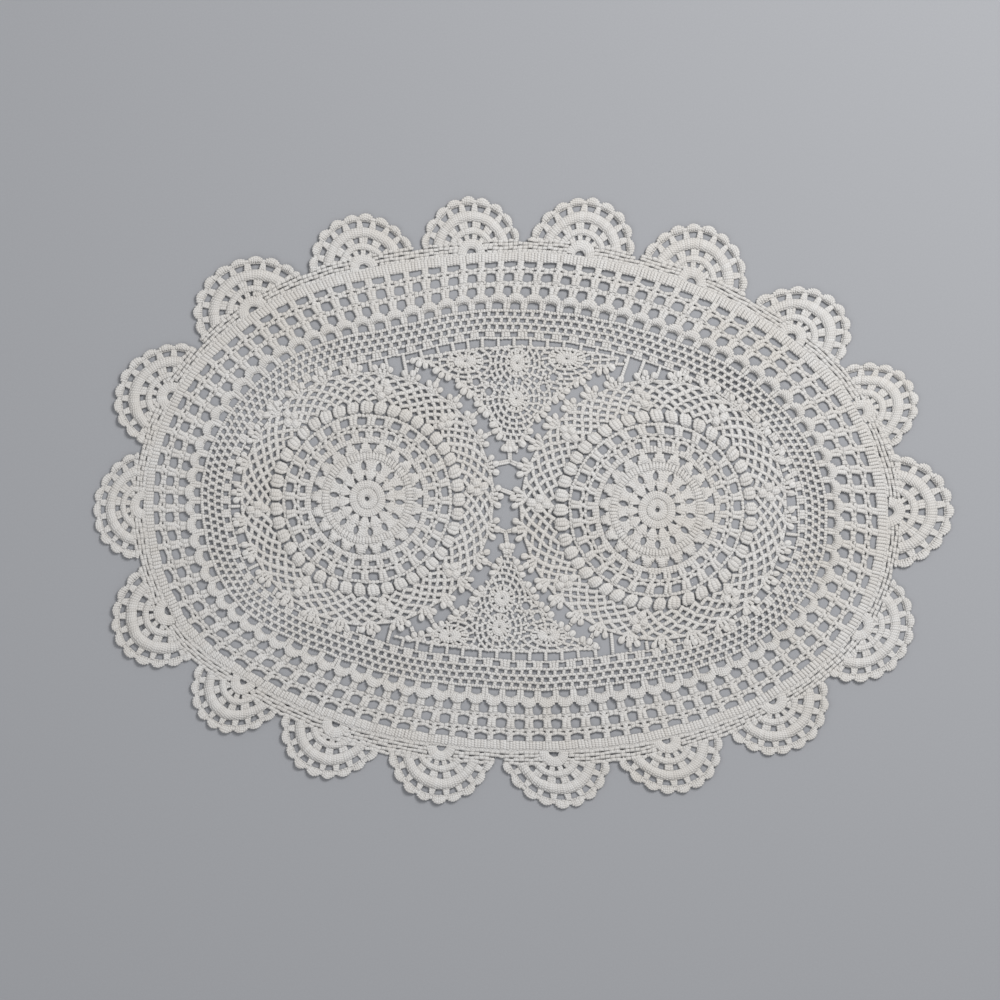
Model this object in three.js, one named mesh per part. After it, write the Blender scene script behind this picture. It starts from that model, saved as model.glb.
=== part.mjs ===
// Oval crocheted lace doily, lying flat. Millimetres, +Z up, +X along the oval.
// Five pieces of crocheted cloth: two round medallions, two three-lobed fans that fill the
// corners between them, and the wide oval surround with its scalloped edging, which is worked
// round them. Each piece is a thin flat solid; picots join the pieces, 0.3 mm apart here.

import * as THREE from 'three';

const clothThickness = 2;
const jointGap = 0.3;

// The edging's scallops, anticlockwise from the right end: the valley that each one starts from,
// its height over the line between its two valleys, and how far its tip leans along that line.
// The doily lies as it was put down, so no two are quite alike.
const scallops = [
  { valley: [241, 32], height: 34, lean: -1 },
  { valley: [207, 88], height: 34, lean: -6 },
  { valley: [146, 130], height: 38, lean: 1 },
  { valley: [74, 156], height: 36, lean: -2 },
  { valley: [1, 169], height: 32, lean: 0 },
  { valley: [-69, 164], height: 32, lean: 1 },
  { valley: [-141, 147], height: 36, lean: 3 },
  { valley: [-209, 101], height: 36, lean: 4 },
  { valley: [-248, 35], height: 32, lean: 4 },
  { valley: [-248, -39], height: 39, lean: 3 },
  { valley: [-215, -104], height: 31, lean: -1 },
  { valley: [-159, -138], height: 30, lean: -2 },
  { valley: [-92, -164], height: 31, lean: 1 },
  { valley: [-18, -167], height: 32, lean: 6 },
  { valley: [58, -168], height: 31, lean: 4 },
  { valley: [131, -152], height: 32, lean: 1 },
  { valley: [197, -114], height: 36, lean: 0 },
  { valley: [239, -47], height: 40, lean: 2 },
];
const scallopFill = 0.94;
const shellsPerScallop = 11;
const pointsPerShell = 3;
const shellRise = 2.6;

// The medallions: centre, radius over the picots, and the directions in degrees of the picot
// groups that are joined to a neighbour. The other groups are spaced evenly round the rest.
const picotGroups = 28;
const picotDepth = 6;
const picotWidth = 0.6;
const left = {
  centre: [-101.7, 1.8],
  radius: 88.5,
  joined: [-62, -52, -41, -28, -13, 1, 15, 28, 38, 48, 59, 70],
  facing: 1,
};
const right = {
  centre: [86.8, -5.5],
  radius: 91,
  joined: [109, 120, 130, 140, 151, 162, 175, 188, 203, 213, 222, 233, 244],
  facing: 175,
};
const meetingLine = -9.3;

// The fans: the two ends of the outer side, how far that side bows outwards, where the inner
// point ends, and the picot groups that reach across to the medallions.
const topFan = {
  leftEnd: [-70, 94],
  rightEnd: [57.4, 95.4],
  bow: [-8, 110],
  point: [-9.3, 30],
  leftJoins: [59, 48, 38, 28],
  rightJoins: [151, 140, 130, 120],
};
const bottomFan = {
  leftEnd: [-79.3, -90.2],
  rightEnd: [43.3, -97.8],
  bow: [-17, -101],
  point: [-10.5, -25],
  leftJoins: [-62, -52, -41, -28],
  rightJoins: [203, 213, 222, 233],
};
const joinHalfAngle = 1.3;
const gapHalfAngle = 3;
const gapDepth = 9;

// Where the surround's inner edge leaves each medallion for the fans, in degrees.
const leftArc = [-82, 76];
const rightArc = [104, -112];
const outerSideSteps = 12;
const arcSteps = 40;

const threadColour = 0xc9c6c0;

const polar = ([x, y], radius, degrees) => {
  const angle = THREE.MathUtils.degToRad(degrees);
  return new THREE.Vector2(x + radius * Math.cos(angle), y + radius * Math.sin(angle));
};

const vector = ([x, y]) => new THREE.Vector2(x, y);

const cotton = () => new THREE.MeshStandardMaterial({ color: threadColour, roughness: 0.9, metalness: 0 });

// A flat piece of cloth, lying on z = 0.
function cloth(name, outline, hole) {
  const shape = new THREE.Shape(outline);
  if (hole) {
    shape.holes.push(new THREE.Path(hole));
  }
  const geometry = new THREE.ExtrudeGeometry(shape, { depth: clothThickness, bevelEnabled: false, steps: 1 });
  const mesh = new THREE.Mesh(geometry, cotton());
  mesh.name = name;
  return mesh;
}

// One scallop: half an oval standing on the line between two valleys, edged with round shells.
function scallopPoints({ valley, height, lean }, i) {
  const from = vector(valley);
  const to = vector(scallops[(i + 1) % scallops.length].valley);
  const middle = from.clone().add(to).multiplyScalar(0.5);
  const halfWidth = to.clone().sub(middle);
  const along = halfWidth.clone().normalize();
  const outwards = new THREE.Vector2(along.y, -along.x);
  const tip = outwards.multiplyScalar(height - shellRise).addScaledVector(along, lean);
  const steps = shellsPerScallop * pointsPerShell;
  return Array.from({ length: steps + 1 }, (_, step) => {
    const turn = (Math.PI * step) / steps;
    const point = halfWidth.clone().multiplyScalar(-scallopFill * Math.cos(turn));
    point.addScaledVector(tip, Math.sin(turn));
    const bulge = shellRise * Math.abs(Math.sin(turn * shellsPerScallop));
    return point.setLength(point.length() + bulge).add(middle);
  });
}

const scallopedEdge = () => scallops.flatMap(scallopPoints);

// Directions of all the picot groups of a medallion: the joined ones as given, the rest evenly.
function groupDirections({ joined }) {
  const first = joined[0];
  const last = joined[joined.length - 1];
  const rest = picotGroups - joined.length;
  const spacing = (360 - (last - first)) / (rest + 1);
  const even = Array.from({ length: rest }, (_, i) => last + spacing * (i + 1));
  return [...joined, ...even];
}

// A disc whose edge is a round of picot groups: each group a blunt tip, with a notch between.
// The group that faces the other medallion reaches out to it.
function medallionOutline(medallion) {
  const { centre, radius, facing } = medallion;
  const directions = groupDirections(medallion);
  const reach = Math.abs(meetingLine - centre[0]) - jointGap / 2;
  return directions.flatMap((direction, i) => {
    const next = i + 1 < directions.length ? directions[i + 1] : directions[0] + 360;
    const spread = (next - direction) / 2;
    const tip = direction === facing
      ? [polar(centre, reach, direction - joinHalfAngle), polar(centre, reach, direction + joinHalfAngle)]
      : [];
    return [
      polar(centre, radius, direction - picotWidth * spread),
      ...tip,
      polar(centre, radius, direction + picotWidth * spread),
      polar(centre, radius - picotDepth, direction + spread),
    ];
  });
}

// The side of a fan that faces a medallion: narrow picot joints with open gaps between them.
function fanSide({ centre, radius }, joins) {
  const sign = Math.sign(joins[1] - joins[0]);
  return joins.flatMap((direction) => [
    polar(centre, radius + gapDepth, direction - sign * gapHalfAngle),
    polar(centre, radius + jointGap, direction - sign * joinHalfAngle),
    polar(centre, radius + jointGap, direction + sign * joinHalfAngle),
    polar(centre, radius + gapDepth, direction + sign * gapHalfAngle),
  ]);
}

const outerSide = ({ leftEnd, bow, rightEnd }) =>
  new THREE.QuadraticBezierCurve(vector(leftEnd), vector(bow), vector(rightEnd)).getPoints(outerSideSteps);

function fanOutline(fan) {
  const leftSide = fanSide(left, fan.leftJoins);
  const rightSide = fanSide(right, fan.rightJoins);
  const outer = outerSide(fan);
  return [...leftSide, vector(fan.point), ...rightSide, ...outer.reverse()];
}

// Part of a circle just outside a medallion, clockwise.
function aroundMedallion({ centre, radius }, [from, to]) {
  const curve = new THREE.EllipseCurve(...centre, radius + jointGap, radius + jointGap,
    THREE.MathUtils.degToRad(from), THREE.MathUtils.degToRad(to), true);
  return curve.getPoints(arcSteps);
}

// The inner edge of the surround: just outside both medallions and both fans.
function surroundOpening() {
  const above = outerSide(topFan).map((point) => point.add(new THREE.Vector2(0, jointGap)));
  const below = outerSide(bottomFan).map((point) => point.sub(new THREE.Vector2(0, jointGap)));
  return [
    ...above,
    ...aroundMedallion(right, rightArc),
    ...below.reverse(),
    ...aroundMedallion(left, leftArc),
  ];
}

const doily = new THREE.Group();
doily.name = 'doily';
doily.add(cloth('border', scallopedEdge(), surroundOpening()));
doily.add(cloth('medallion_left', medallionOutline(left)));
doily.add(cloth('medallion_right', medallionOutline(right)));
doily.add(cloth('fan_top', fanOutline(topFan)));
doily.add(cloth('fan_bottom', fanOutline(bottomFan)));

// The origin is under the middle of the doily's box.
const middle = new THREE.Box3().setFromObject(doily).getCenter(new THREE.Vector3());
doily.position.set(-middle.x, -middle.y, 0);

export default doily;
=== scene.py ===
import math
import bmesh
import bpy
import numpy as np
from mathutils import Matrix, Vector


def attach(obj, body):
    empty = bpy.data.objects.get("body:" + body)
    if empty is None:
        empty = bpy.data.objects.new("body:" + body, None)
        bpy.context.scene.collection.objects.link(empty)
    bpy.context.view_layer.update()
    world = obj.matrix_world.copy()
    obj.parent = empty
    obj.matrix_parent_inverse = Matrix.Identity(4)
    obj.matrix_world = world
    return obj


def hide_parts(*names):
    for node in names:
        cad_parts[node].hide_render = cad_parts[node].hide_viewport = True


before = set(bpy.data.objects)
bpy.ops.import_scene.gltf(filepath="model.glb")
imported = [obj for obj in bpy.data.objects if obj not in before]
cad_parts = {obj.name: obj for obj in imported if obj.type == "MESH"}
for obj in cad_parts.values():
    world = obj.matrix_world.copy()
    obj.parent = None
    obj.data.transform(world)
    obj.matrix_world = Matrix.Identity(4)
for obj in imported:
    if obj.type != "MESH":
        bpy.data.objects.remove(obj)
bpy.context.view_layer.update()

# All chart measurements are in millimetres, as in a crochet pattern, and become metres when a
# piece is joined. The doily lies flat, so a stitch is a strand with a start, a middle and an end.
mm = 0.001
dice = np.random.default_rng(11)


def say(stage):
    print("doily:", stage)


def hexColour(code):
    parts = [int(code[i:i + 2], 16) / 255 for i in (1, 3, 5)]
    linear = [c / 12.92 if c <= 0.04045 else ((c + 0.055) / 1.055) ** 2.4 for c in parts]
    return (*linear, 1.0)


def addNode(tree, kind, settings=None, links=None, values=None):
    node = tree.nodes.new(kind)
    for name, value in (settings or {}).items():
        setattr(node, name, value)
    for name, value in (values or {}).items():
        node.inputs[name].default_value = value
    for name, socket in (links or {}).items():
        tree.links.new(socket, node.inputs[name])
    return node


def newMaterial(name):
    material = bpy.data.materials.new(name)
    material.use_nodes = True
    material.node_tree.nodes.clear()
    return material, material.node_tree


threadLook = {
    "lit": "#CFCDCA",
    "dull": "#C6C3BF",
    "aged": "#C4BEB5",
    # root: a painted shade colour, darkening the grooves between the plies
    "root": "#88837B",
    "roughness": 0.8,
    "plyPitch": 1.55,       # mm; the real ply turns every 0.6 mm, drawn coarser so that it shows
    "ageingPatch": 70.0,    # mm
    "fibre": 0.35,          # mm
    "grooveShade": 0.3,          # how much of the root tone, a painted shade, shows between the plies
    "bump": 0.55,
    "bumpDepth": 0.16,      # mm
    "sheen": 0.25,
}


def mercerisedCotton():
    # two-ply mercerised cotton crochet thread: low soft sheen, slightly warm off-white
    look = threadLook
    material, tree = newMaterial("mercerised cotton thread")
    place = addNode(tree, "ShaderNodeTexCoord")
    tone = addNode(tree, "ShaderNodeAttribute", {"attribute_name": "tone"})
    along = addNode(tree, "ShaderNodeUVMap", {"uv_map": "alongThread"})
    ageing = addNode(tree, "ShaderNodeTexNoise", links={"Vector": place.outputs["Object"]},
                     values={"Scale": 1000 / look["ageingPatch"], "Detail": 3.0, "Roughness": 0.6})
    fibre = addNode(tree, "ShaderNodeTexNoise", links={"Vector": place.outputs["Object"]},
                    values={"Scale": 1000 / look["fibre"], "Detail": 2.0})
    ageRange = addNode(tree, "ShaderNodeMapRange", links={"Value": ageing.outputs["Fac"]},
                       values={"From Min": 0.42, "From Max": 0.72, "To Min": 0.0, "To Max": 0.55})
    stitchTone = addNode(tree, "ShaderNodeMix", {"data_type": "RGBA"},
                         links={"Factor": tone.outputs["Fac"]},
                         values={"A": hexColour(look["dull"]), "B": hexColour(look["lit"])})
    agedTone = addNode(tree, "ShaderNodeMix", {"data_type": "RGBA"},
                       links={"Factor": ageRange.outputs["Result"], "A": stitchTone.outputs["Result"]},
                       values={"B": hexColour(look["aged"])})
    # UV: first number is mm along the strand, second is turns round it
    turned = addNode(tree, "ShaderNodeMapping", links={"Vector": along.outputs["UV"]},
                     values={"Scale": (1 / look["plyPitch"], 1.0, 1.0)})
    apart = addNode(tree, "ShaderNodeSeparateXYZ", links={"Vector": turned.outputs["Vector"]})
    twist = addNode(tree, "ShaderNodeMath", {"operation": "ADD"},
                    links={0: apart.outputs["X"], 1: apart.outputs["Y"]})
    turns = addNode(tree, "ShaderNodeMath", {"operation": "MULTIPLY"},
                    links={0: twist.outputs["Value"]}, values={1: math.tau})
    ply = addNode(tree, "ShaderNodeMath", {"operation": "SINE"}, links={0: turns.outputs["Value"]})
    # painted shade: the root tone darkens the thread where the ply wave dips, as if shaded in the grooves
    # between the plies
    grooveShade = addNode(tree, "ShaderNodeMapRange", links={"Value": ply.outputs["Value"]},
                     values={"From Min": -1.0, "From Max": -0.35, "To Min": look["grooveShade"], "To Max": 0.0})
    colour = addNode(tree, "ShaderNodeMix", {"data_type": "RGBA"},
                     links={"Factor": grooveShade.outputs["Result"], "A": agedTone.outputs["Result"]},
                     values={"B": hexColour(look["root"])})
    height = addNode(tree, "ShaderNodeMath", {"operation": "MULTIPLY_ADD"},
                     links={0: fibre.outputs["Fac"], 2: ply.outputs["Value"]}, values={1: 0.6})
    bump = addNode(tree, "ShaderNodeBump", links={"Height": height.outputs["Value"]},
                   values={"Strength": look["bump"], "Distance": look["bumpDepth"] * mm})
    shader = addNode(tree, "ShaderNodeBsdfPrincipled",
                     links={"Base Color": colour.outputs["Result"], "Normal": bump.outputs["Normal"]},
                     values={"Roughness": look["roughness"], "Sheen Weight": look["sheen"],
                             "Sheen Roughness": 0.5, "Specular IOR Level": 0.3, "IOR": 1.53})
    addNode(tree, "ShaderNodeOutputMaterial", links={"Surface": shader.outputs["BSDF"]})
    return material


# each stitch is a low tube: sides round it, and its thickness at stations along its length
stitchShapes = {
    "treble": (6, [(0, 0.9), (0.25, 1.0), (0.75, 1.0), (1, 0.9)]),
    "wedge": (6, [(0, 0.5), (0.4, 0.78), (0.86, 1.0), (1, 0.76)]),
    "chain": (6, [(0, 0.72), (0.25, 1.0), (0.75, 1.0), (1, 0.72)]),
    "pillar": (6, [(0, 1.2), (0.3, 0.95), (0.7, 0.95), (1, 1.25)]),
    "close": (6, [(0, 0.84), (0.5, 0.95), (1, 0.96)]),
    "rope": (6, [(0, 0.96), (0.5, 1.0), (1, 0.96)]),
    "knot": (6, [(0, 0.6), (0.3, 1.0), (0.7, 1.0), (1, 0.6)]),
    "picot": (10, [(0, 0.6), (0.14, 0.84), (0.42, 1.0), (0.72, 0.94), (0.93, 0.64), (1, 0.3)]),
}


def stitchMaster(sides, stations):
    bm = bmesh.new()
    bmesh.ops.create_cone(bm, cap_ends=True, segments=sides, radius1=1, radius2=1, depth=1)
    bmesh.ops.translate(bm, verts=bm.verts[:], vec=(0, 0, 0.5))
    bmesh.ops.rotate(bm, verts=bm.verts[:], cent=(0, 0, 0), matrix=Matrix.Rotation(math.pi / 2, 3, "Z"))
    for place, _ in stations[1:-1]:
        everything = bm.verts[:] + bm.edges[:] + bm.faces[:]
        bmesh.ops.bisect_plane(bm, geom=everything, plane_co=(0, 0, place), plane_no=(0, 0, 1))
    places, sizes = zip(*stations)
    for vert in bm.verts:
        size = float(np.interp(vert.co.z, places, sizes))
        vert.co.x *= size
        vert.co.y *= size
    bm.verts.index_update()
    master = {
        "points": np.array([v.co for v in bm.verts]),
        "corners": [], "counts": [], "uv": [],
    }
    for face in bm.faces:
        middle = face.calc_center_median()
        facing = math.atan2(middle.y, middle.x) / math.tau
        for vert in face.verts:
            turn = math.atan2(vert.co.y, vert.co.x) / math.tau
            turn = facing + (turn - facing + 0.5) % 1 - 0.5
            master["corners"].append(vert.index)
            master["uv"].append((vert.co.z, turn))
        master["counts"].append(len(face.verts))
    bm.free()
    return {name: np.array(values) for name, values in master.items()}


masters = {kind: stitchMaster(*shape) for kind, shape in stitchShapes.items()}

handwork = {
    "flatness": 0.46,    # height over width of a strand, unless the stitch says otherwise
    "shake": 0.1,        # mm that the ends of a strand stray
    "rise": 0.45,        # mm of slow rise and fall in the cloth
    "wander": 0.16,      # mm that the rows wander
    "lowest": 0.05,      # mm above the table
}


def strand(work, kind, start, end, wide, tall=None, middle=None, lift=0.0, arch=0.0):
    # wide and tall are half the stitch's width and height; lift is how far its underside is
    # off the table, and arch how much higher its middle is
    tall = wide * handwork["flatness"] if tall is None else tall
    middle = (start + end) / 2 if middle is None else middle
    shift = dice.normal(0, handwork["shake"], 4)
    low = lift + tall
    work.setdefault(kind, []).append((
        start[0] + shift[0], start[1] + shift[1], low,
        middle[0] + shift[2], middle[1] + shift[3], low + arch + 0.1 * abs(shift[0]),
        end[0], end[1], low,
        wide * (1 + 0.5 * shift[1]), tall,
    ))


def ripple(x, y):
    # the cloth never lies dead flat: slow rises of up to about a millimetre
    broad = np.sin(x / 31 + 0.6) * np.cos(y / 23)
    fine = np.sin((x + y) / 14 + 2) * np.cos((x - y) / 19)
    return handwork["rise"] * (1.1 + broad + 0.5 * fine)


def handmade(x, y):
    # rows worked by hand wander by a fraction of a millimetre
    along = np.sin(x / 3.1 + 1.7 * np.sin(y / 7.3)) + np.sin((x + 2 * y) / 9.7 + 0.4)
    across = np.sin(y / 2.9 + 1.9 * np.sin(x / 6.7)) + np.sin((2 * x - y) / 8.9 + 1.1)
    return handwork["wander"] * np.stack([along, across], axis=1)


def unit(v):
    return v / np.maximum(np.linalg.norm(v, axis=-1, keepdims=True), 1e-9)


def joinStitches(name, work, material):
    # every strand bends its master along a curve from start through middle to end
    allPoints, allCorners, allCounts, allUv, allTones = [], [], [], [], []
    used = 0
    for kind, rows in work.items():
        master = masters[kind]
        data = np.array(rows)
        start, middle, end = data[:, None, 0:3], data[:, None, 3:6], data[:, None, 6:9]
        wide, tall = data[:, None, 9:10], data[:, None, 10:11]
        pull = 2 * middle - (start + end) / 2
        s = master["points"][None, :, 2:3]
        path = (1 - s) ** 2 * start + 2 * s * (1 - s) * pull + s ** 2 * end
        ahead = unit(2 * (1 - s) * (pull - start) + 2 * s * (end - pull))
        side = unit(np.cross(np.array([0.0, 0.0, 1.0]), ahead))
        up = np.cross(ahead, side)
        points = path + side * wide * master["points"][None, :, 0:1]
        points = points + up * tall * master["points"][None, :, 1:2]
        count, perStitch = len(rows), len(master["points"])
        length = np.linalg.norm(end - start, axis=-1)
        uv = np.repeat(master["uv"][None], count, axis=0)
        if kind == "picot":
            # a picot's threads run lengthwise
            uv[:, :, 0] = uv[:, :, 1] * 4 * threadLook["plyPitch"] + uv[:, :, 0] * 0.8
        else:
            uv[:, :, 0] = uv[:, :, 0] * length + dice.random((count, 1)) * 10
        corners = master["corners"][None] + perStitch * np.arange(count)[:, None] + used
        allPoints.append(points.reshape(-1, 3))
        allCorners.append(corners.ravel())
        allCounts.append(np.tile(master["counts"], count))
        allUv.append(uv.reshape(-1, 2))
        allTones.append(np.repeat(dice.random(count), perStitch))
        used += count * perStitch
    points = np.concatenate(allPoints)
    points[:, :2] += handmade(points[:, 0], points[:, 1])
    points[:, 2] += ripple(points[:, 0], points[:, 1])
    points[:, 2] = np.maximum(points[:, 2], handwork["lowest"])
    corners, counts = np.concatenate(allCorners), np.concatenate(allCounts)
    mesh = bpy.data.meshes.new(name)
    mesh.vertices.add(len(points))
    mesh.loops.add(len(corners))
    mesh.polygons.add(len(counts))
    mesh.vertices.foreach_set("co", (points * mm).ravel())
    mesh.loops.foreach_set("vertex_index", corners.astype(np.int32))
    mesh.polygons.foreach_set("loop_start", (np.cumsum(counts) - counts).astype(np.int32))
    mesh.update(calc_edges=True)
    mesh.polygons.foreach_set("use_smooth", np.ones(len(counts), bool))
    mesh.uv_layers.new(name="alongThread").uv.foreach_set("vector", np.concatenate(allUv).ravel())
    mesh.attributes.new("tone", "FLOAT", "POINT").data.foreach_set("value", np.concatenate(allTones))
    mesh.materials.append(material)
    mesh.validate()
    piece = bpy.data.objects.new(name, mesh)
    bpy.context.scene.collection.objects.link(piece)
    triangles = int((counts - 2).sum())
    say(f"{name} made of {sum(len(rows) for rows in work.values())} stitches, {triangles} triangles")
    return piece


def declare(piece, node):
    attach(piece, "root")
    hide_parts(node)


# the CAD model's middle is the origin, so the chart's own middle is moved there
layShift = np.array([-0.04, 0.5])


def chartPlace(point):
    return np.array(point, float) + layShift


def around(centre, turn, r):
    # r mm from a centre, in the direction turn in degrees
    a = math.radians(turn)
    return centre + r * np.array([math.cos(a), math.sin(a)])


def smoothLoop(points, samples):
    # a closed cubic curve through the points, with the same number of samples after each
    p = chartPlace(points)
    n = len(p)
    system = 4 * np.eye(n) + np.roll(np.eye(n), 1, 1) + np.roll(np.eye(n), -1, 1)
    slope = np.linalg.solve(system, 3 * (np.roll(p, -1, 0) - np.roll(p, 1, 0)))
    s = np.arange(samples)[:, None] / samples
    line = []
    for i in range(n):
        j = (i + 1) % n
        line.append((2 * s ** 3 - 3 * s ** 2 + 1) * p[i] + (s ** 3 - 2 * s ** 2 + s) * slope[i]
                    + (3 * s ** 2 - 2 * s ** 3) * p[j] + (s ** 3 - s ** 2) * slope[j])
    return np.concatenate(line)


# two guide lines, anticlockwise from the right end, with four shells from each point to the next:
# through the holes under the shells, and further out through the pillars of the last open round;
# the columns lean a little, as they do in the crocheting
surround = {
    "repeats": 96,       # shells round the oval
    "perPoint": 4,       # shells from one point of a line to the next
    "samples": 20,       # points of the smoothed line to each shell
    "between": 27.9,     # mm from one line to the other
    "shellLine": [
        (195.5, 20), (174.5, 57.5), (138.5, 88.5), (96, 108), (52.5, 121), (6, 127), (-39.5, 126),
        (-83, 116.5), (-125, 107.5), (-164.5, 88), (-195.5, 55.5), (-211.5, 16), (-209, -25.5), (-191.5, -64),
        (-157, -89.5), (-115.5, -106), (-74, -118), (-30.5, -123), (15, -125.5), (61.5, -121),
        (106.5, -113), (149.5, -95.5), (183.5, -65.5), (199.5, -24.5),
    ],
    "pillarLine": [
        (224, 21), (199, 71), (158.5, 107), (111.5, 132), (61.5, 147), (10.5, 154), (-39.5, 152.5),
        (-88.5, 145), (-138, 133), (-183.5, 108), (-218.5, 69.5), (-237, 21), (-236, -29.5), (-216, -77.5),
        (-178, -108.5), (-131, -131), (-84, -145), (-34, -152), (16, -154), (67, -150),
        (117, -139), (165, -117.5), (207, -81.5), (227, -33),
    ],
}
perPoint = surround["perPoint"] * surround["samples"]
spine = smoothLoop(surround["shellLine"], perPoint)
spineAhead = unit(np.roll(spine, -8, 0) - np.roll(spine, 8, 0))
spineIn = np.stack([spineAhead[:, 1], -spineAhead[:, 0]], axis=1)
spineOut = (smoothLoop(surround["pillarLine"], perPoint) - spine) / surround["between"]


def onSurround(t, out):
    # t counts shells round the oval, out is mm outwards from the shell line
    place = t * surround["samples"]
    i = math.floor(place)
    f = place - i
    i %= len(spine)
    j = (i + 1) % len(spine)
    ways = spineOut if out > 0 else spineIn
    return spine[i] * (1 - f) + spine[j] * f + (ways[i] * (1 - f) + ways[j] * f) * out


def surroundPlace(point):
    # the other way: where a point is along the rounds, and how far outwards
    away = point - spine
    out = (away * spineOut).sum(1) / (spineOut ** 2).sum(1)
    miss = np.linalg.norm(away - spineOut * out[:, None], axis=1) + np.where(out > 0, 0, 1e3)
    i = int(np.argmin(miss))
    return i / surround["samples"], float(out[i])


scallops = [
    # valley it starts from, height, lean of its tip
    ((241, 32), 34, -1), ((207, 88), 34, -6), ((146, 130), 38, 1), ((74, 156), 36, -2),
    ((1, 169), 32, 0), ((-69, 164), 32, 1), ((-141, 147), 36, 3), ((-209, 101), 36, 4),
    ((-248, 35), 32, 4), ((-248, -39), 39, 3), ((-215, -104), 31, -1), ((-159, -138), 30, -2),
    ((-92, -164), 31, 1), ((-18, -167), 32, 6), ((58, -168), 31, 4), ((131, -152), 32, 1),
    ((197, -114), 36, 0), ((239, -47), 40, 2),
]


def scallopAxes(k):
    # the scallop's foot on the solid round, and the vectors to its side and its tip
    start = chartPlace(scallops[k][0])
    end = chartPlace(scallops[(k + 1) % len(scallops)][0])
    middle, half = (start + end) / 2, (end - start) / 2
    along = half / np.linalg.norm(half)
    outwards = np.array([along[1], -along[0]])
    tip = middle + outwards * scallops[k][1] + along * scallops[k][2]
    foot = onSurround(surroundPlace(middle)[0], bands["solidOut"] + 0.8)
    return foot, half * 0.95, tip - foot


def onScallop(axes, turn, reach):
    # turn runs from 0 at the scallop's end to 180 at its start, reach from 0 at its foot to 1
    foot, side, rise = axes
    a = math.radians(turn)
    return foot + side * math.cos(a) * reach + rise * math.sin(a) * reach


bands = {
    # mm outwards from the shell line
    "solidIn": 30.0, "solidOut": 35.8,
    "firstPillars": (25.7, 30.3), "firstVs": (21.8, 25.9),
    "secondPillars": (16.2, 21.9), "secondVs": (12.8, 16.4),
    "thirdPillars": (7.8, 13.0),
    "shellTop": 8.5, "shellCusp": 5.5, "archTop": 3.0,
    "closeLine": (-4.3, -2.3),
    "meshBars": (-7.6, -11.9, -16.3), "meshDrift": (0.0, -0.23, -0.46), "lastBar": -21.0,
    "chainRow": 2.35,
    "closeStitches": 6,  # to each shell, in the close rounds
}


def link(work, lay, t0, t1, out0, out1=None, wide=0.85, kind="rope", bow=0.0, **more):
    # one stitch from t0 to t1 along a round
    out1 = out0 if out1 is None else out1
    middle = lay((t0 + t1) / 2, (out0 + out1) / 2 + bow)
    strand(work, kind, lay(t0, out0), lay(t1, out1), wide, middle=middle, **more)


def solidRound(work):
    # a close round of trebles with a chain edge
    for i in range(surround["repeats"] * bands["closeStitches"]):
        t = (i + 0.5) / bands["closeStitches"]
        strand(work, "treble", onSurround(t, bands["solidIn"] - 0.3), onSurround(t + 0.03, bands["solidOut"]),
               1.25, tall=0.58, lift=0.3)
        link(work, onSurround, t - 0.095, t + 0.095, bands["solidOut"] + 0.2, wide=0.9, kind="knot",
             lift=0.55)


def insideScallop(axes, spot):
    # whether a spot is under a scallop, short of its rim
    foot, side, rise = axes
    u, v = np.linalg.solve(np.stack([side, rise], axis=1), spot - foot)
    return v > -0.1 and math.hypot(u, v) < 0.97


def chainRounds(work):
    # rounds of chain pushed together between the scallops; thin gaps show where two bow apart
    repeats = surround["repeats"]
    order = sorted(surroundPlace(chartPlace(valley)) for valley, _, _ in scallops)
    ts = [order[-1][0] - repeats] + [t for t, _ in order] + [order[0][0] + repeats]
    outs = [order[-1][1]] + [out for _, out in order] + [order[0][1]]
    axes = [scallopAxes(k) for k in range(len(scallops))]
    for row in range(edging["chainRows"] + 2):
        out = bands["solidOut"] + 1.2 + bands["chainRow"] * row
        for i in range(repeats * 4):
            t = i / 4
            place = (i + 2 * (row % 2)) % 4
            bow = 0.5 * ((place == 0) - 0.4 * (place == 2))
            spot = onSurround(t + 0.125, out)
            low = out < float(np.interp(t, ts, outs)) + 0.4
            within = row < edging["chainRows"] and any(insideScallop(a, spot) for a in axes)
            toFoot = min(np.linalg.norm(spot - foot) for foot, _, _ in axes)
            if (low or within) and toFoot > edging["halfMoon"]:
                link(work, onSurround, t - 0.01, t + 0.26, out, wide=1.17, bow=bow, tall=0.6, lift=0.25)


def vRound(work, inner, outer):
    # V stitches: the two edges, sagging under each hole, and the stitches between them
    inLow, inHigh = inner + 0.2, inner + 1.4
    outHigh, outLow = outer + 0.1, outer - 1.6
    for j in range(surround["repeats"]):
        for side in (-1, 1):
            for near, far in ((inLow, inHigh), (outHigh, outLow)):
                between = (near + far) / 2
                link(work, onSurround, j, j + 0.26 * side, near, between, wide=1.15, lift=0.3)
                link(work, onSurround, j + 0.25 * side, j + 0.5 * side, between, far, wide=1.15, lift=0.3)
            strand(work, "treble", onSurround(j + 0.12 * side, inLow - 0.6),
                   onSurround(j - 0.1 * side, outHigh + 0.6), 1.35, lift=0.2 + 0.15 * side)
            strand(work, "treble", onSurround(j + 0.5 - 0.07 * side, inHigh),
                   onSurround(j + 0.5 + 0.09 * side, outLow), 1.25, lift=0.15)


def pillar(work, j, sign, reaches, foot, head, wide):
    # one treble of the pair that stands between two holes
    low, high = reaches
    strand(work, "pillar", onSurround(j + foot * sign, low), onSurround(j + head * sign, high), wide,
           lift=0.15)


def openRounds(work):
    # two rounds of paired trebles between rounds of V stitches
    vRound(work, *bands["firstVs"])
    vRound(work, *bands["secondVs"])
    for j in range(surround["repeats"]):
        for sign in (-1, 1):
            pillar(work, j, sign, bands["firstPillars"], 0.07, 0.07, 1.35)
            pillar(work, j, sign, bands["secondPillars"], 0.08, 0.13, 1.55)


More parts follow.
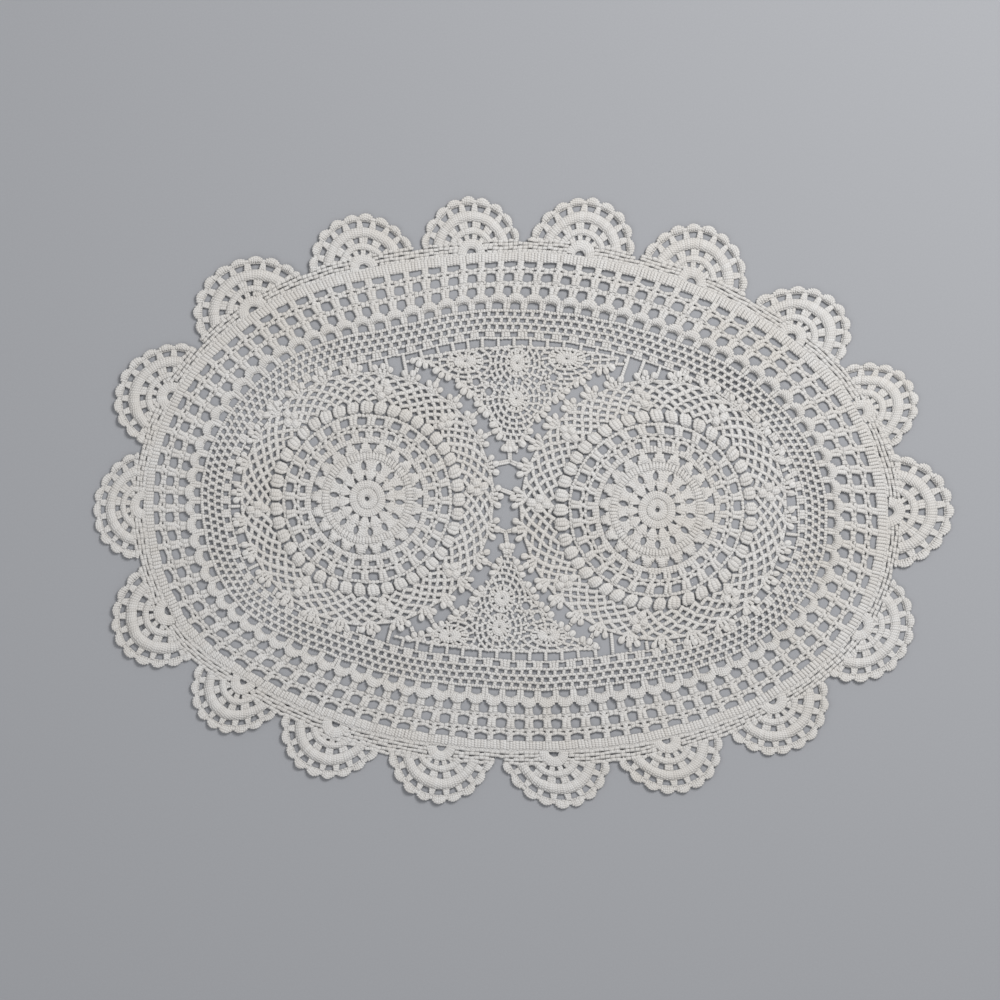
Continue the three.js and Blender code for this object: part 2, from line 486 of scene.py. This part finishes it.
def shellRound(work):
    # a round of paired trebles, and the shells under it standing on arches of chain
    for j in range(surround["repeats"]):
        for sign in (-1, 1):
            pillar(work, j, sign, bands["thirdPillars"], 0.08, 0.13, 1.55)
            strand(work, "treble", onSurround(j + 0.5 + 0.09 * sign, bands["closeLine"][1] - 0.3),
                   onSurround(j + 0.5 + 0.1 * sign, bands["shellCusp"] - 0.8), 1.25, lift=0.1)
        link(work, onSurround, j - 0.4, j, 1.4, 3.0, wide=0.85, bow=0.5, lift=0.2)
        link(work, onSurround, j, j + 0.4, 3.0, 1.4, wide=0.85, bow=0.5, lift=0.2)
        for k in range(9):
            f = (k - 4) / 4
            foot = onSurround(j + 0.36 * f, bands["archTop"] - 0.2 - 1.2 * f * f)
            drop = (bands["shellTop"] - bands["shellCusp"]) * abs(f) ** 2.2
            head = onSurround(j + 0.46 * f, bands["shellTop"] - drop)
            strand(work, "wedge", foot, head, 1.1, tall=0.62, lift=0.3 + 0.8 * (1 - f * f))


def meshRounds(work):
    # a close line, three rounds of square mesh, a round of treble groups and the joining bar
    closeIn, closeOut = bands["closeLine"]
    for i in range(surround["repeats"] * bands["closeStitches"]):
        t = (i + 0.5) / bands["closeStitches"]
        strand(work, "knot", onSurround(t, closeIn), onSurround(t, closeOut), 1.12, tall=0.7, lift=0.2)
    above = closeIn + 0.3
    for bar, drift in zip(bands["meshBars"], bands["meshDrift"]):
        for i in range(surround["repeats"] * 2):
            t = i / 2 + drift
            strand(work, "treble", onSurround(t + 0.03, bar + 0.5), onSurround(t - 0.02, above), 1.22,
                   lift=0.1)
            for side in (-0.125, 0.125):
                link(work, onSurround, t + side - 0.13, t + side + 0.13, bar, wide=1.02, kind="knot",
                     tall=0.7, lift=0.25)
        above = bar - 0.4
    for j in range(surround["repeats"]):
        for side in (-0.19, 0.0, 0.19):
            t = j + 0.5 + side
            strand(work, "treble", onSurround(t, bands["lastBar"] + 0.4), onSurround(t, above), 1.15,
                   lift=0.1)
        for k in range(4):
            t = j + k / 4
            link(work, onSurround, t - 0.13, t + 0.13, bands["lastBar"], wide=0.95, kind="knot", lift=0.25)


# directions and starts in degrees, flat area in square metres inside the outline
leftMedallion = {
    "name": "medallionLeft", "node": "medallion_left", "flatArea": 0.0241,
    "centre": (-101.7, 1.8), "scale": 1.0, "radius": 88.5, "start": 6.0, "drawn": (0, 0),
    "joined": [-62, -52, -41, -28, -13, 1, 15, 28, 38, 48, 59, 70],
    "bobbles": [3, 45, 86, 136, 186, 232, 276, 320],
}
rightMedallion = {
    "name": "medallionRight", "node": "medallion_right", "flatArea": 0.0261,
    "centre": (86.8, -5.5), "scale": 1.03, "radius": 91.0, "start": 2.0, "drawn": (176, 0.05),
    "joined": [109, 120, 130, 140, 151, 162, 175, 188, 203, 213, 222, 233, 244],
    "bobbles": [8, 52, 90, 137, 178, 222, 268, 314],
}
picotGroups = 28
picotSize = {"wide": 2.15, "tall": 0.9}


def groupDirections(medallion):
    # the groups joined to a neighbour as they lie, and the rest spread evenly
    joined = medallion["joined"]
    rest = picotGroups - len(joined)
    spacing = (360 - (joined[-1] - joined[0])) / (rest + 1)
    return joined + [joined[-1] + spacing * (i + 1) for i in range(rest)]


def medallionLay(medallion):
    # inner rounds are even; outwards they are drawn towards the joined picot groups
    centre = chartPlace(medallion["centre"])
    real = np.array(groupDirections(medallion), float)
    even = real.mean() + (np.arange(picotGroups) - (picotGroups - 1) / 2) * 360 / picotGroups
    wrapEven = np.concatenate([even - 360, even, even + 360])
    wrapReal = np.concatenate([real - 360, real, real + 360])

    def lay(turn, r):
        share = min(max((r - disc["drawnFrom"]) / disc["drawnOver"], 0), 1)
        turned = (turn + 180 - even.mean()) % 360 - 180 + even.mean()
        drawn = float(np.interp(turned, wrapEven, wrapReal))
        a = math.radians(turned + (drawn - turned) * share * share * (3 - 2 * share))
        towards, by = medallion["drawn"]
        wider = 1 + by * share * max(0, math.cos(a - math.radians(towards))) ** 3
        return centre + medallion["scale"] * wider * r * np.array([math.cos(a), math.sin(a)])
    return lay, even


disc = {
    # radii in mm of the left medallion's rounds
    "hole": 1.4, "eye": 6.6, "centre": 12.0, "lumps": 19.6, "bridges": (16.2, 17.9),
    "stems": (18.4, 25.2), "ring": 30.4, "petals": 37.2, "arches": 40.9,
    "lattice": (44.0, 48.3), "line": 54.2, "popcorns": (56.2, 63.4),
    "loops": (63.0, 66.2, 69.3, 72.4, 75.5, 78.5), "rim": 81.4,
    "drawnFrom": 42, "drawnOver": 38,
    "heap": ((67.6, 0), (71.8, -2.3), (71.8, 2.3), (76.0, 0)),    # radius and degrees aside
    "heapReach": 2.8,
    # stitches or motifs in a round
    "eyeCount": 24, "centreCount": 42, "lumpCount": 14, "ringCount": 84, "petalCount": 21,
    "lineCount": 140, "popcornCount": 42, "rimCount": 112,
}


def spokes(work, lay, count, r0, r1, wide, kind, **more):
    for i in range(count):
        turn = (i + 0.5) * 360 / count
        strand(work, kind, lay(turn, r0), lay(turn, r1), wide, **more)


def ropeRing(work, lay, count, r, wide, kind="rope", **more):
    for i in range(count):
        t0, t1 = i * 360 / count, (i + 1) * 360 / count
        strand(work, kind, lay(t0 - 0.1, r), lay(t1 + 0.1, r), wide, middle=lay((t0 + t1) / 2, r), **more)


def flowerCentre(work, lay, start):
    # a close disc, fourteen clusters with their stems, and a solid ring
    def turned(turn, r):
        return lay(turn + start, r)
    spokes(work, turned, disc["eyeCount"], disc["hole"], disc["eye"], 1.0, "wedge", tall=0.7, lift=0.5)
    spokes(work, turned, disc["centreCount"], disc["eye"] - 0.4, disc["centre"], 1.1, "wedge", tall=0.65,
           lift=0.4)
    step = 360 / disc["lumpCount"]
    for i in range(disc["lumpCount"]):
        for k in range(4):
            f = (k - 1.5) / 1.5
            strand(work, "wedge", turned(i * step + 2.8 * f, disc["centre"] - 0.4),
                   turned(i * step + 9.0 * f, disc["lumps"] - 1.6 * f * f), 1.3, lift=0.5)
        gap = i * step + step / 2
        for r in disc["bridges"]:
            strand(work, "rope", turned(gap - 5.5, r), turned(gap + 5.5, r), 1.0, middle=turned(gap, r),
                   lift=0.3)
        low, high = disc["stems"]
        for k in range(5):
            f = (k - 2) / 2
            strand(work, "treble", turned(i * step + 9.0 * f, low), turned(i * step + 10.8 * f, high),
                   1.15, middle=turned(i * step + 4.9 * f, (low + high) / 2), tall=0.6, lift=0.3)
    spokes(work, turned, disc["ringCount"], disc["stems"][1] - 0.7, disc["ring"], 1.2, "close", tall=0.58,
           lift=0.35)


def petalsAndArches(work, lay, start):
    # round petal tips, with an arch of trebles over the gap between each two
    def turned(turn, r):
        return lay(turn + start, r)
    step = 360 / disc["petalCount"]
    for i in range(disc["petalCount"]):
        middle = i * step
        for k in range(6):
            f = (k - 2.5) / 2.9
            head = disc["ring"] + (disc["petals"] - disc["ring"]) * (1 - f * f) ** 0.75
            strand(work, "close", turned(middle + 8.2 * f, disc["ring"] - 0.9),
                   turned(middle + 5.7 * f, head), 1.25, tall=0.6, lift=0.35)
        for k in range(6):
            f = (k - 2.5) / 2.5
            turn = middle + step / 2 + step * 0.43 * f
            strand(work, "treble", turned(turn, disc["petals"] - 0.5),
                   turned(turn, disc["arches"] - 1.2 * f * f), 1.2, tall=0.58, lift=0.3)
    ropeRing(work, turned, disc["ringCount"], disc["petals"], 0.8, kind="knot", lift=0.4)


def latticeRounds(work, lay, even):
    # the round of V stitches with its two rounds of holes, and the close line outside
    step = 360 / picotGroups
    inner, outer = disc["lattice"]
    for i in range(picotGroups):
        turn = even[i]
        for side in (-1, 1):
            half = step / 2 * side
            strand(work, "pillar", lay(turn + 1.4 * side, disc["arches"] - 1.6),
                   lay(turn + 1.8 * side, inner + 0.5), 1.35, lift=0.15)
            strand(work, "pillar", lay(turn + 1.2 * side, outer - 0.6),
                   lay(turn + 1.6 * side, disc["line"] - 0.4), 1.5, lift=0.15)
            for r0, r1 in ((inner + 0.3, inner + 1.3), (outer + 0.1, outer - 1.3)):
                middle = (r0 + r1) / 2
                strand(work, "rope", lay(turn, r0), lay(turn + half * 0.52, middle), 1.15, lift=0.3)
                strand(work, "rope", lay(turn + half / 2, middle), lay(turn + half, r1), 1.15, lift=0.3)
            strand(work, "treble", lay(turn + 1.5 * side, inner - 0.5), lay(turn - 1.2 * side, outer + 0.4),
                   1.3, lift=0.2 + 0.15 * side)
            strand(work, "treble", lay(turn + half - 1.0 * side, inner + 0.8),
                   lay(turn + half + 0.8 * side, outer - 0.8), 1.15, lift=0.15)
    ropeRing(work, lay, disc["lineCount"], disc["line"], 1.2, kind="knot", tall=0.6, lift=0.25)


def popcorn(work, lay, turn, low, high, spread, wide=1.5):
    # trebles from one foot, drawn together again at the head, so the middle stands up
    for side in (-1, 0, 1):
        foot, head = lay(turn + 0.25 * spread * side, low), lay(turn + 0.34 * spread * side, high)
        waist = lay(turn + spread * side, 0.46 * low + 0.54 * high)
        strand(work, "knot", foot, head, wide, middle=waist, tall=0.72, lift=0.1,
               arch=0.65 - 0.35 * abs(side))


def popcornRound(work, lay, even):
    step = 360 / disc["popcornCount"]
    inner, outer = disc["popcorns"]
    for i in range(disc["popcornCount"]):
        popcorn(work, lay, even[0] + (i + 0.5) * step, inner - 0.8, outer, 2.65, wide=1.7)


def chainLoops(work, lay, even, bobbles):
    # rounds of chain loops, each caught in the loops below, with small heaps of popcorns
    loops = 2 * picotGroups
    step = 360 / loops
    rise = 3.1           # mm from a loop's feet to its top

    def caught(row, i):
        # where loop i of a row starts, a little aside of its even place
        aside = 0.08 * math.sin(1.9 * (i % loops) + 2.3 * row)
        return even[0] + (i + 0.5 * ((row + 1) % 2) + aside) * step

    for turn in bobbles:
        for r, aside in disc["heap"]:
            popcorn(work, lay, turn + aside, r - disc["heapReach"], r + disc["heapReach"], 1.15)
    for row, r in enumerate(disc["loops"]):
        for i in range(loops):
            t0, t1 = caught(row, i), caught(row, i + 1)
            peak = lay(caught(row + 1, i + (row + 1) % 2), r + rise)
            wide = 1.35 + 0.16 * math.sin(2.3 * i + 1.1 * row)
            strand(work, "chain", lay(t0 - 0.25, r - 0.3), peak, wide,
                   middle=lay(t0 + 0.15 * step, r + 0.68 * rise), tall=0.44, lift=0.15)
            strand(work, "chain", peak, lay(t1 + 0.25, r - 0.3), wide,
                   middle=lay(t1 - 0.15 * step, r + 0.68 * rise), tall=0.44, lift=0.3)
    ropeRing(work, lay, disc["rimCount"], disc["rim"] + 0.1, 1.0, lift=0.3)


def picotGroup(work, lay, turn, r):
    # three picots over a small fan of trebles
    for k in range(4):
        f = (k - 1.5) / 1.5
        strand(work, "wedge", lay(turn + 1.8 * f, r - 1.0), lay(turn + 3.0 * f, r + 3.6 - 0.6 * f * f), 1.4,
               lift=0.2)
    for side in (-1, 1):
        strand(work, "picot", lay(turn + 2.7 * side, r + 1.7), lay(turn + 3.8 * side, r + 5.5), lift=0.1,
               **picotSize)
    strand(work, "picot", lay(turn, r + 2.9), lay(turn, r + 7.1), lift=0.2, **picotSize)


def doubleChain(work, start, end):
    # two strands of chain side by side, as a bar across a gap
    aside = unit(np.array([start[1] - end[1], end[0] - start[0]])) * 0.62
    for side in (-1, 1):
        strand(work, "chain", start + aside * side, end + aside * side, 0.82, lift=0.25)


def middleJoin(work):
    # the one place where the two medallions meet
    left, right = (medallionLay(m)[0] for m in (leftMedallion, rightMedallion))
    doubleChain(work, left(1, 86), right(175, 86))


def medallionCloth(work, medallion):
    lay, even = medallionLay(medallion)
    flowerCentre(work, lay, medallion["start"])
    petalsAndArches(work, lay, medallion["start"])
    latticeRounds(work, lay, even)
    popcornRound(work, lay, even)
    chainLoops(work, lay, even, medallion["bobbles"])
    for turn in even:
        picotGroup(work, lay, turn, disc["rim"] + 0.4)
    if medallion is rightMedallion:
        middleJoin(work)


edging = {
    # reach from the foot, where 1 is the tip of the scallop, about 37 mm
    "fan": (0.085, 0.265), "smallHoles": (0.25, 0.36), "close": (0.345, 0.46),
    "largeHoles": (0.45, 0.575), "solid": (0.565, 0.75), "windows": (0.735, 0.875),
    "shells": (0.868, 1.0),
    "fanCount": 16, "closeCount": 29, "solidCount": 46, "shellCount": 11,
    "holeStep": 28.0, "shellStep": 18.0,    # degrees
    "chainRows": 4,      # rounds of chain over its lower corners
    "halfMoon": 9.2,     # mm round its foot without chain
    "nearFoot": 10.5,    # mm round its foot that the chain never covers
}


def scallopCloth(work, k):
    axes = scallopAxes(k)
    foot = axes[0]
    chainTop = bands["solidOut"] + (edging["chainRows"] - 0.6) * bands["chainRow"]

    def put(kind, low, high, wide, **more):
        # low and high are a turn and a reach; the chain rounds cover the two lower corners
        start, end = onScallop(axes, *low), onScallop(axes, *high)
        middle = (start + end) / 2
        if surroundPlace(middle)[1] > chainTop or np.linalg.norm(middle - foot) < edging["nearFoot"]:
            strand(work, kind, start, end, wide, **more)

    def row(count, reaches, wide, kind, **more):
        for i in range(count):
            turn = (i + 0.5) * 180 / count
            put(kind, (turn, reaches[0]), (turn, reaches[1]), wide, **more)

    row(edging["fanCount"], edging["fan"], 1.2, "wedge", tall=0.6, lift=0.4)
    for i in range(-4, 4):
        middle = 90 + edging["holeStep"] * (i + 0.5)
        for reaches, asides, wide in ((edging["smallHoles"], (-3.8, 3.8), 1.1),
                                      (edging["largeHoles"], (-5.2, 0, 5.2), 1.2)):
            for aside in asides:
                turn = middle + aside
                put("treble", (turn, reaches[0]), (turn, reaches[1]), wide, lift=0.2)
    row(edging["closeCount"], edging["close"], 1.2, "close", tall=0.6, lift=0.35)
    row(edging["solidCount"], edging["solid"], 1.22, "close", tall=0.58, lift=0.3)
    step = edging["shellStep"]
    last = edging["shellCount"] - 1
    low, high = edging["windows"]
    for i in range(last):
        turn = (i + 0.5) * step
        for aside in (-1, 0, 1):
            put("treble", (turn + 3.2 * aside, low), (turn + 1.2 * aside, high), 1.0, lift=0.25)
    low, high = edging["shells"]
    for i in range(last + 1):
        middle = min(max(i * step, 4.5), 175.5)
        span = 8.4 if 0 < i < last else 6.0
        for n in range(8):
            f = (n - 3.5) / 3.5
            bottom = middle + 0.98 * span * f, low + 0.002
            top = middle + span * 0.94 * f, high - 0.06 * f * f
            put("wedge", bottom, top, 1.15, tall=0.58, lift=0.15 + 0.75 * (1 - f * f))
        for n in range(4):
            t0, t1 = (middle + span * (d + n - 2) / 2 for d in (-0.05, 1.05))
            put("rope", (t0, low), (t1, low), 0.7, lift=0.4)


# outer is the edge along the surround; a lobe is its centre, the turn its stitches start from and
# how much longer than wide it is; joins are directions from the medallions' centres
topFan = {
    "name": "fanTop", "node": "fan_top", "flatArea": 0.0050, "up": 1,
    "outer": [(-77, 91.5), (-8, 110), (62, 94)],
    "lobes": [((-38, 91), 0, 1.4), ((28, 93), 40, 1.4), ((-4.8, 67), 90, 0.95),
              ((-4, 90), 15, 0.9)],
    "eyelets": [(-30.9, 78.2), (-22.4, 71.6), (19.9, 81), (13.2, 73.9)],
    "leftJoins": [69, 59, 48, 38, 28], "rightJoins": [151, 140, 130, 120, 110],
    "point": (-9.3, 31), "star": (-8.8, 25.9), "starJoins": (15, 162),
}
bottomFan = {
    "name": "fanBottom", "node": "fan_bottom", "flatArea": 0.0042, "up": -1,
    "outer": [(-84, -88.5), (-17, -103), (50, -96)],
    "lobes": [((-48, -87.5), 10, 1.4), ((16.3, -87), 70, 1.4), ((-13.9, -63), 30, 0.95),
              ((-16, -82), 50, 0.9)],
    "eyelets": [(-39.2, -73.6), (-31.4, -66.2), (9.5, -75), (1.8, -68)],
    "leftJoins": [-71, -62, -52, -41, -28], "rightJoins": [203, 213, 222, 233, 243],
    "point": (-10.5, -26), "star": (-12.2, -19.7), "starJoins": (-13, 188),
}
fanMesh = {
    # mm
    "gap": 7.0,          # from a medallion's rim to the fan
    "eyelet": 3.6,       # radius
    "firstRound": 8.4, "betweenRounds": 3.75, "rounds": 10,
    "link": 2.7, "betweenPosts": 4.0,
    "lean": 230,         # degrees of a post's lean times the length of its round
    "hubCount": 16, "spokeCount": 9,
    "slantLinks": 36, "edgeLinks": 46,
}


def fanEdge(fan, x):
    # y of the fan's edge along the surround
    a, bow, b = (chartPlace(p) for p in fan["outer"])
    s = (x - a[0]) / (b[0] - a[0])
    return (1 - s) ** 2 * a[1] + 2 * s * (1 - s) * bow[1] + s ** 2 * b[1]


def fanRounds(work, fan):
    # small mesh in rounds about each lobe's centre, up to where the next lobe begins
    rims = [(chartPlace(m["centre"]), m["radius"] + fanMesh["gap"]) for m in (leftMedallion, rightMedallion)]
    lobes = [chartPlace(place) for place, _, _ in fan["lobes"]]
    eyelets = [chartPlace(place) for place in fan["eyelets"]]

    def inside(p):
        clear = all(np.linalg.norm(p - centre) > rim for centre, rim in rims)
        below = (fanEdge(fan, p[0]) - p[1]) * fan["up"] > 0.8
        above = (p[1] - layShift[1] - fan["point"][1]) * fan["up"] > 2.0
        clearOfHoles = min(np.linalg.norm(p - spot) for spot in eyelets) > 3.3
        return clear and below and above and clearOfHoles

    def placed(kind, start, end, wide, lobe, **more):
        middle = (start + end) / 2
        nearest = min(range(len(lobes)), key=lambda n: np.linalg.norm(middle - lobes[n]))
        if nearest == lobe and inside(middle):
            strand(work, kind, start, end, wide, **more)

    for n, (centre, (_, turned, longer)) in enumerate(zip(lobes, fan["lobes"])):
        def at(turn, r):
            angle = math.radians(turn + turned)
            return centre + r * np.array([longer * math.cos(angle), math.sin(angle) / longer ** 0.5])

        for i in range(fanMesh["hubCount"]):
            turn = i * 360 / fanMesh["hubCount"]
            placed("wedge", at(turn, 0.6), at(turn, 5.4), 1.25, n, lift=0.4)
        for i in range(fanMesh["spokeCount"]):
            turn = i * 360 / fanMesh["spokeCount"]
            for side in (-1, 1):
                placed("treble", at(turn + 5 * side, 5.2), at(turn + 10 * side, 8.4), 1.0, n, lift=0.2)
        for k in range(fanMesh["rounds"]):
            r = fanMesh["firstRound"] + fanMesh["betweenRounds"] * k
            links = int(math.tau * r / fanMesh["link"])
            for i in range(links):
                t0, t1 = (360 * (i + d) / links for d in (-0.05, 1.05))
                placed("rope", at(t0, r), at(t1, r), 0.98, n, lift=0.3)
            posts = int(math.tau * r / fanMesh["betweenPosts"])
            for i in range(posts):
                turn = 360 * (i + 0.5 * (k % 2)) / posts
                lean = fanMesh["lean"] / (math.tau * r)
                placed("treble", at(turn, r + 0.2), at(turn + lean, r + 3.5), 0.95, n, lift=0.15)
    for spot in eyelets:
        for i in range(9):
            start = around(spot, 40 * i, fanMesh["eyelet"])
            end = around(spot, 40 * (i + 1), fanMesh["eyelet"] + 0.1)
            strand(work, "rope", start, end, 0.95, lift=0.35)


def fanPicots(work, fan):
    # picot groups along both slanting sides, joined across the gap to the medallions
    for medallion, joins in ((leftMedallion, fan["leftJoins"]), (rightMedallion, fan["rightJoins"])):
        centre, radius = chartPlace(medallion["centre"]), medallion["radius"]
        edge = radius + fanMesh["gap"]
        for turn in joins:
            foot, tip = around(centre, turn, edge - 4.0), around(centre, turn, radius - 0.6)
            doubleChain(work, foot, tip)
            for k in (-1, 0, 1):
                strand(work, "wedge", around(centre, turn + 1.2 * k, edge + 2.2),
                       around(centre, turn + 2.2 * k, edge - 0.8), 1.4, lift=0.2)
                strand(work, "picot", around(centre, turn + 2.4 * k, edge + 0.2 + 0.8 * abs(k)),
                       around(centre, turn + 3.2 * k, edge - 3.9 + abs(k)), lift=0.2, **picotSize)
        low, high = min(joins) - 3, max(joins) + 3
        for i in range(fanMesh["slantLinks"]):
            t0, t1 = (low + (high - low) * (i + d) / fanMesh["slantLinks"] for d in (0, 1))
            ends = around(centre, t0, edge + 1.4), around(centre, t1, edge + 1.4)
            if all((fanEdge(fan, p[0]) - p[1]) * fan["up"] > -1 for p in ends):
                strand(work, "chain", *ends, 1.0, lift=0.3)


def fanPoint(work, fan):
    # the fan's point, its three picots, and the star of bars that joins it to both medallions
    up = fan["up"]
    star, tip = chartPlace(fan["star"]), chartPlace(fan["point"])
    doubleChain(work, star, tip + np.array([0, 1.5 * up]))
    for medallion, turn in zip((leftMedallion, rightMedallion), fan["starJoins"]):
        doubleChain(work, star, around(chartPlace(medallion["centre"]), turn, medallion["radius"] - 3))
    for k in (-1, 0, 1):
        foot = tip + np.array([2.4 * k, 4.9 * up])
        strand(work, "picot", foot, tip + np.array([3.8 * k, (0.6 + 0.9 * abs(k)) * up]), 2.3, tall=0.95,
               lift=0.2)
        strand(work, "wedge", tip + np.array([1.2 * k, 8.6 * up]), foot + np.array([0, -0.6 * up]), 1.5,
               lift=0.2)


def fanCloth(work, fan):
    fanRounds(work, fan)
    fanPicots(work, fan)
    fanPoint(work, fan)
    # chain edge under the surround's joining row
    left, right = (chartPlace(fan["outer"][end])[0] for end in (0, 2))
    for i in range(fanMesh["edgeLinks"]):
        xs = [left + (right - left) * (i + d) / fanMesh["edgeLinks"] for d in (0, 1)]
        start, end = (np.array([x, fanEdge(fan, x) - 0.9 * fan["up"]]) for x in xs)
        strand(work, "knot", start, end, 1.05, lift=0.25)


joining = {
    # mm
    "furthest": -44, "step": 0.5,
    "overRim": 5.5, "overEdge": 0.6,
    "shortOfEnds": (5, 4),
}


def joiningRow(work):
    # one stitch to each shell, from the last bar to the rims of the medallions and the fans' edges
    discs = [(chartPlace(m["centre"]), m["radius"]) for m in (leftMedallion, rightMedallion)]
    for j in range(surround["repeats"]):
        reach = bands["lastBar"] - 1.0
        while reach > joining["furthest"]:
            p = onSurround(j, reach)
            fan = topFan if p[1] > 0 else bottomFan
            left = fan["outer"][0][0] + joining["shortOfEnds"][0]
            right = fan["outer"][2][0] - joining["shortOfEnds"][1]
            onDisc = any(np.linalg.norm(p - centre) < radius - joining["overRim"] for centre, radius in discs)
            onFan = left < p[0] < right and (fanEdge(fan, p[0]) - p[1]) * fan["up"] > joining["overEdge"]
            if onDisc or onFan:
                break
            reach -= joining["step"]
        strand(work, "treble", onSurround(j, bands["lastBar"] - 0.3), onSurround(j, reach), 1.15, lift=0.2)


cotton = mercerisedCotton()


def makePiece(name, node, builders):
    work = {}
    for build in builders:
        build(work)
    declare(joinStitches(name, work, cotton), node)


def makeMedallion(medallion):
    builders = [lambda work: medallionCloth(work, medallion)]
    makePiece(medallion["name"], medallion["node"], builders)


def makeFan(fan):
    builders = [lambda work: fanCloth(work, fan)]
    makePiece(fan["name"], fan["node"], builders)


def makeScallops(name, which):
    builders = [lambda work: [scallopCloth(work, k) for k in which]]
    makePiece(name, "border", builders)


makeMedallion(leftMedallion)
makeMedallion(rightMedallion)
makeFan(topFan)
makeFan(bottomFan)
makePiece("meshRounds", "border", [meshRounds, joiningRow])
makePiece("shellRounds", "border", [shellRound, openRounds])
makePiece("solidRounds", "border", [solidRound, chainRounds])
makeScallops("scallopsUpper", range(0, 9))
makeScallops("scallopsLower", range(9, 18))

studio = {
    # metres and watts
    "floorTones": ("#9A9B9E", "#949598"),
    "floorSize": 3.0,
    "paperGrain": 900.0,    # to the metre
    "cameraHeight": 2.4,
    "sensor": 36,        # mm
    "viewWidth": 0.651,
    "viewCentre": (-0.0153, 0.0015),
    "key": {"place": (0.75, 0.85, 1.25), "size": 0.7, "power": 23.5},
    "fill": {"place": (-1.3, -0.7, 1.6), "size": 1.6, "power": 6.0},
    "sky": "#F2F4F8",
    "skyStrength": 0.55,
}


def studioFloor():
    # matt paper: no gloss, with a fine grain
    material, tree = newMaterial("matt studio paper")
    light, dark = (hexColour(tone) for tone in studio["floorTones"])
    place = addNode(tree, "ShaderNodeTexCoord")
    grain = addNode(tree, "ShaderNodeTexNoise", links={"Vector": place.outputs["Object"]},
                    values={"Scale": studio["paperGrain"], "Detail": 2.0})
    tone = addNode(tree, "ShaderNodeMix", {"data_type": "RGBA"}, links={"Factor": grain.outputs["Fac"]},
                   values={"A": light, "B": dark})
    shader = addNode(tree, "ShaderNodeBsdfPrincipled", links={"Base Color": tone.outputs["Result"]},
                     values={"Roughness": 0.95})
    addNode(tree, "ShaderNodeOutputMaterial", links={"Surface": shader.outputs["BSDF"]})
    bm = bmesh.new()
    bmesh.ops.create_grid(bm, x_segments=1, y_segments=1, size=studio["floorSize"])
    mesh = bpy.data.meshes.new("floor")
    bm.to_mesh(mesh)
    bm.free()
    mesh.materials.append(material)
    floor = bpy.data.objects.new("floor", mesh)
    bpy.context.scene.collection.objects.link(floor)


def softLight(name):
    # a round soft light aimed at the doily's middle
    look = studio[name]
    light = bpy.data.lights.new(name, "AREA")
    light.shape = "DISK"
    light.size = look["size"]
    light.energy = look["power"]
    lamp = bpy.data.objects.new(name, light)
    lamp.location = look["place"]
    direction = Vector((0, 0, 0)) - lamp.location
    lamp.rotation_euler = direction.to_track_quat("-Z", "Y").to_euler()
    bpy.context.scene.collection.objects.link(lamp)


def cameraAbove():
    camera = bpy.data.cameras.new("camera")
    camera.sensor_width = studio["sensor"]
    camera.lens = studio["sensor"] * studio["cameraHeight"] / studio["viewWidth"]
    eye = bpy.data.objects.new("camera", camera)
    eye.location = (*studio["viewCentre"], studio["cameraHeight"])
    bpy.context.scene.collection.objects.link(eye)
    bpy.context.scene.camera = eye


def softRoom():
    world = bpy.data.worlds.new("softRoom")
    bpy.context.scene.world = world
    world.use_nodes = True
    sky = world.node_tree.nodes["Background"]
    sky.inputs["Color"].default_value = hexColour(studio["sky"])
    sky.inputs["Strength"].default_value = studio["skyStrength"]
    bpy.context.scene.view_settings.view_transform = "Standard"


studioFloor()
softLight("key")
softLight("fill")
cameraAbove()
softRoom()
say("floor, lights and camera placed")

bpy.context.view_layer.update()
say("sizes written")
